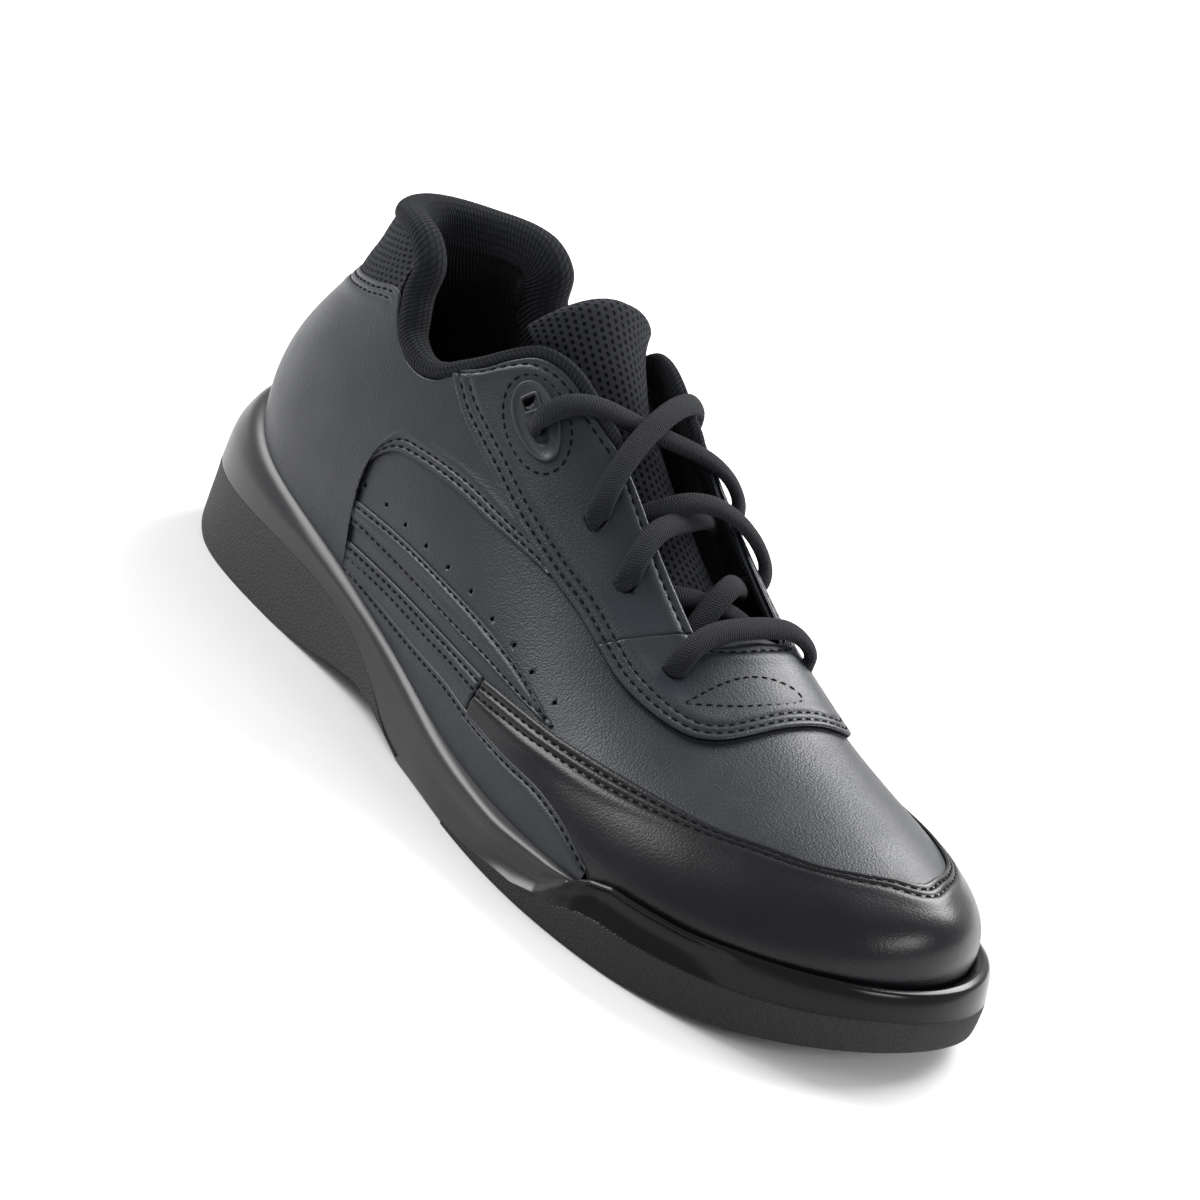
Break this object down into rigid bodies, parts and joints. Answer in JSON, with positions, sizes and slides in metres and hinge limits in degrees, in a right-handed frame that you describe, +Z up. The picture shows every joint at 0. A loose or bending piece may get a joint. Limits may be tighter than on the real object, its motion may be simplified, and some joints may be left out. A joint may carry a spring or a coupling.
{
  "type": "bowling shoe",
  "caption": "Low-cut black leather lace-up bowling shoe for the right foot, with a padded mesh collar and tongue, a wrapped rubber sole unit and a sliding pad.",
  "frame": {"origin": "middle of the sole's outline seen from above, on the ground", "axes": "+X towards the toe, +Y towards the big-toe side (medial), +Z up"},
  "size_m": [0.2953, 0.1104, 0.1205],
  "materials": {
    "textured_rubber": "matte black rubber with a fine stippled texture",
    "smooth_rubber": "smooth semi-gloss black moulded rubber",
    "slide_pad": "short-napped dark grey suede sliding pad",
    "shank_steel": "flat spring steel strip",
    "board": "brown fibre board",
    "footbed_foam": "dark knitted cloth over moulded foam",
    "gloss_leather": "smooth polished black leather",
    "grain_leather": "soft semi-matte black leather with a fine grain",
    "air_mesh": "black spacer mesh with a pattern of small holes",
    "knit_lining": "fine black knitted mesh",
    "foam": "soft grey foam",
    "plate_plastic": "semi-matte black plastic",
    "lace_braid": "braided black polyester with fine cross ribs",
    "lace_tip": "clear-coated black plastic tube"
  },
  "bodies": {
    "root": {"outsole_heel": "textured_rubber", "outsole_forefoot": "textured_rubber", "slide_sole_pad": "slide_pad", "midsole": "smooth_rubber", "shank": "shank_steel", "insole_board": "board", "mudguard": "gloss_leather", "heel_mesh_patch": "air_mesh", "throat_saddle": "grain_leather", "vamp": "grain_leather", "heel_counter": "board", "toe_puff": "board", "lining_quarters": "knit_lining", "lining_vamp": "knit_lining", "collar_padding": "foam", "collar_rim": "knit_lining", "lace": "lace_braid", "lace_aglets": "lace_tip", "quarter_lateral": "grain_leather", "quarter_medial": "grain_leather", "foxing_strip_lateral": "grain_leather", "foxing_strip_medial": "grain_leather", "arch_panel_lateral": "grain_leather", "arch_panel_medial": "grain_leather", "side_stripe_lateral": "grain_leather", "side_stripe_medial": "grain_leather", "eyestay_lateral": "grain_leather", "eyestay_medial": "grain_leather", "side_panel_lateral": "grain_leather", "side_panel_medial": "grain_leather", "eyelet_plate_lateral": "plate_plastic", "eyelet_plate_medial": "plate_plastic"},
    "tongue": {"tongue_face": "air_mesh", "tongue_foam": "foam", "tongue_lining": "knit_lining"},
    "footbed": {"footbed": "footbed_foam"}
  },
  "joints": [
    {"name": "tongue_press", "type": "hinge", "parent": "root", "child": "tongue", "pos_m": [0.0626, 0.0081, 0.044], "axis": [0, 1, 0], "range_deg": [-6, 0], "stiffness_Nm_per_rad": 1.5},
    {"name": "footbed_lift", "type": "hinge", "parent": "root", "child": "footbed", "pos_m": [0.1346, 0, 0.0172], "axis": [0, 1, 0], "range_deg": [0, 6]}
  ]
}
